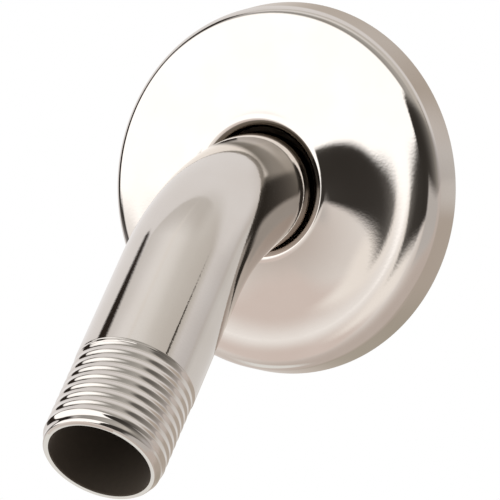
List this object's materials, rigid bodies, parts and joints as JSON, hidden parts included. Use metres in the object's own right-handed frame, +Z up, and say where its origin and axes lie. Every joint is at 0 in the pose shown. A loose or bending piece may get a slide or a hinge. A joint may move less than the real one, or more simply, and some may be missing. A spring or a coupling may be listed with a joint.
{
  "type": "shower arm",
  "caption": "Short wall-mounted shower arm: a bent tube with a male pipe thread at each end and a loose bell-shaped flange that covers the hole in the wall.",
  "frame": {"origin": "where the arm's inlet axis meets the finished wall, at the centre of the flange's back rim", "axes": "+Y into the wall along the inlet leg, -Y out into the room, +Z up, +X to the right for someone facing the wall"},
  "size_m": [0.0656, 0.1129, 0.0825],
  "materials": {
    "arm_nickel": "polished",
    "flange_nickel": "polished"
  },
  "bodies": {
    "arm": {"shower_arm": "arm_nickel"},
    "flange": {"wall_flange": "flange_nickel"}
  },
  "joints": [
    {"name": "flange_slide", "type": "slide", "parent": "arm", "child": "flange", "axis": [0, 1, 0], "range_m": [0, 0.0207]}
  ]
}
